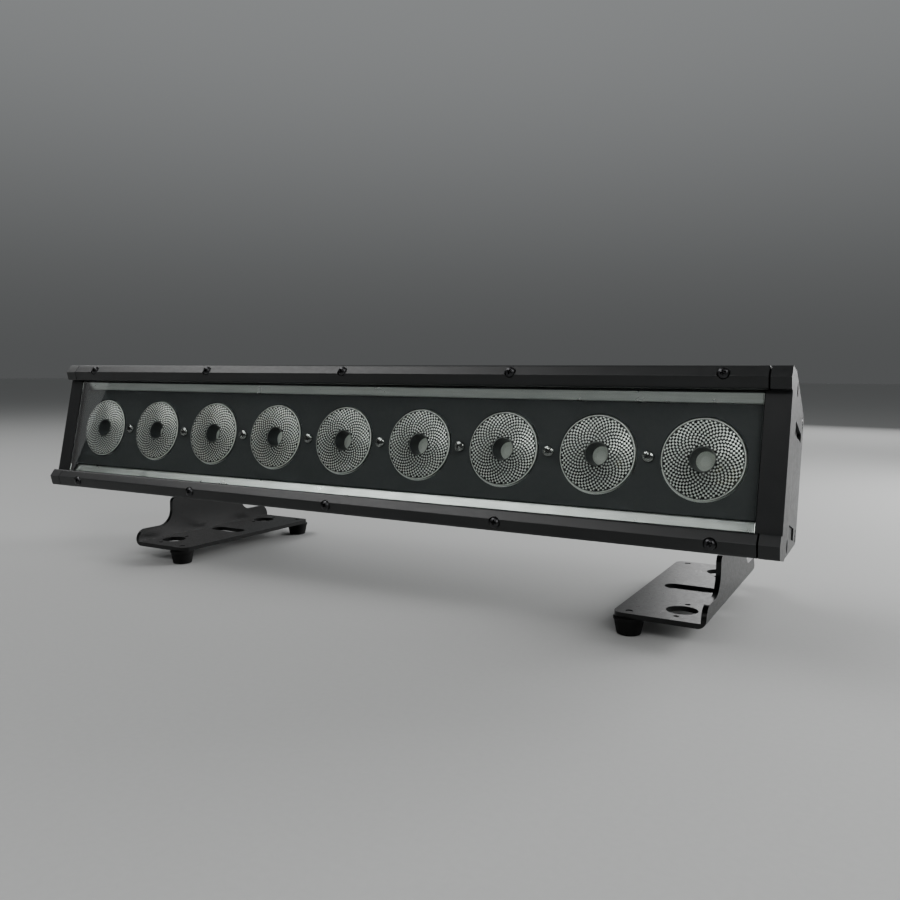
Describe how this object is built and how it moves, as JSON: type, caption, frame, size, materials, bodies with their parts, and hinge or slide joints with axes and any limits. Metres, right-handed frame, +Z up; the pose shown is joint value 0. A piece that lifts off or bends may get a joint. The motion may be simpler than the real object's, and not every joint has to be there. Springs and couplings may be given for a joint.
{
  "type": "led strip batten",
  "caption": "Stage light batten with a row of round lenses behind one front glass, held between two floor brackets on hand-knob pivots.",
  "frame": {"origin": "on the floor under the middle of the bounding box", "axes": "+X along the batten to its right end, -Y the way the glass faces, +Z up"},
  "size_m": [0.525, 0.1986, 0.1517],
  "materials": {
    "housing_black": "textured black powder coat",
    "bracket_black": "textured black powder coat on sheet steel",
    "panel_black": "satin black powder coat",
    "black_screw": "black zinc",
    "bright_screw": "nickel plate",
    "glass": "clear tempered glass",
    "rubber": "black rubber",
    "bare_aluminium": "satin bare aluminium",
    "lens_plate_black": "matte grey-black",
    "lens": "clear moulded acrylic",
    "holder": "black polycarbonate",
    "led_board": "white solder mask on metal-core board",
    "led_package": "LED encapsulant",
    "supply_case": "plain folded aluminium",
    "circuit_board": "green circuit board",
    "wire": "insulated wire",
    "display_window": "smoked acrylic",
    "display_module": "display glass",
    "power_socket": "blue-black nylon",
    "data_socket": "black nylon",
    "vent_plug": "black nylon",
    "fibre": "fibre washer",
    "knob": "black nylon",
    "button": "silicone rubber"
  },
  "bodies": {
    "head": {"bottom_clamp_rail": "housing_black", "bottom_rail_screws": "black_screw", "bottom_reflector_strip": "bare_aluminium", "control_board": "circuit_board", "data_in_socket": "data_socket", "data_out_socket": "data_socket", "display_module": "display_module", "display_window": "display_window", "driver_board": "circuit_board", "end_cap_gaskets": "rubber", "end_cap_screws": "black_screw", "friction_washers": "fibre", "front_glass": "glass", "glass_gasket": "rubber", "housing_extrusion": "housing_black", "led_board": "led_board", "led_packages": "led_package", "left_end_cap": "housing_black", "left_pivot_lug": "bracket_black", "lens_1": "lens", "lens_2": "lens", "lens_3": "lens", "lens_4": "lens", "lens_5": "lens", "lens_6": "lens", "lens_7": "lens", "lens_8": "lens", "lens_9": "lens", "lens_holders": "holder", "lens_plate": "lens_plate_black", "lens_plate_screws": "bright_screw", "lens_plate_standoffs": "bright_screw", "pivot_bolts": "bright_screw", "pivot_lug_screws": "black_screw", "power_in_socket": "power_socket", "power_out_socket": "power_socket", "power_supply": "supply_case", "rear_panel": "panel_black", "rear_panel_gasket": "rubber", "rear_panel_screws": "black_screw", "right_end_cap": "housing_black", "right_pivot_lug": "bracket_black", "safety_eye": "bright_screw", "top_clamp_rail": "housing_black", "top_rail_screws": "black_screw", "top_reflector_strip": "bare_aluminium", "vent_plug": "vent_plug", "wiring_loom": "wire"},
    "left_bracket_set": {"left_bracket": "bracket_black", "left_rubber_feet": "rubber", "left_foot_screws": "black_screw"},
    "right_bracket_set": {"right_bracket": "bracket_black", "right_rubber_feet": "rubber", "right_foot_screws": "black_screw"},
    "left_knob_body": {"left_knob": "knob"},
    "right_knob_body": {"right_knob": "knob"},
    "menu_button_body": {"menu_button": "button"},
    "down_button_body": {"down_button": "button"},
    "up_button_body": {"up_button": "button"},
    "enter_button_body": {"enter_button": "button"}
  },
  "joints": [
    {"name": "left_bracket_swing", "type": "hinge", "parent": "head", "child": "left_bracket_set", "pos_m": [-0.2198, 0.02479, 0.08176], "axis": [1, 0, 0], "range_deg": [-12.5, 167.5]},
    {"name": "right_bracket_swing", "type": "hinge", "parent": "head", "child": "right_bracket_set", "pos_m": [0.2198, 0.02479, 0.08176], "axis": [1, 0, 0], "range_deg": [-12.5, 167.5]},
    {"name": "left_knob_turn", "type": "hinge", "parent": "head", "child": "left_knob_body", "pos_m": [-0.23, 0.02479, 0.08176], "axis": [-1, 0, 0], "range_deg": [0, 360]},
    {"name": "right_knob_turn", "type": "hinge", "parent": "head", "child": "right_knob_body", "pos_m": [0.23, 0.02479, 0.08176], "axis": [1, 0, 0], "range_deg": [0, 360]},
    {"name": "menu_button_press", "type": "slide", "parent": "head", "child": "menu_button_body", "axis": [0, -0.9763, 0.2164], "range_m": [0, 0.0012], "stiffness_N_per_m": 400},
    {"name": "down_button_press", "type": "slide", "parent": "head", "child": "down_button_body", "axis": [0, -0.9763, 0.2164], "range_m": [0, 0.0012], "stiffness_N_per_m": 400},
    {"name": "up_button_press", "type": "slide", "parent": "head", "child": "up_button_body", "axis": [0, -0.9763, 0.2164], "range_m": [0, 0.0012], "stiffness_N_per_m": 400},
    {"name": "enter_button_press", "type": "slide", "parent": "head", "child": "enter_button_body", "axis": [0, -0.9763, 0.2164], "range_m": [0, 0.0012], "stiffness_N_per_m": 400}
  ]
}
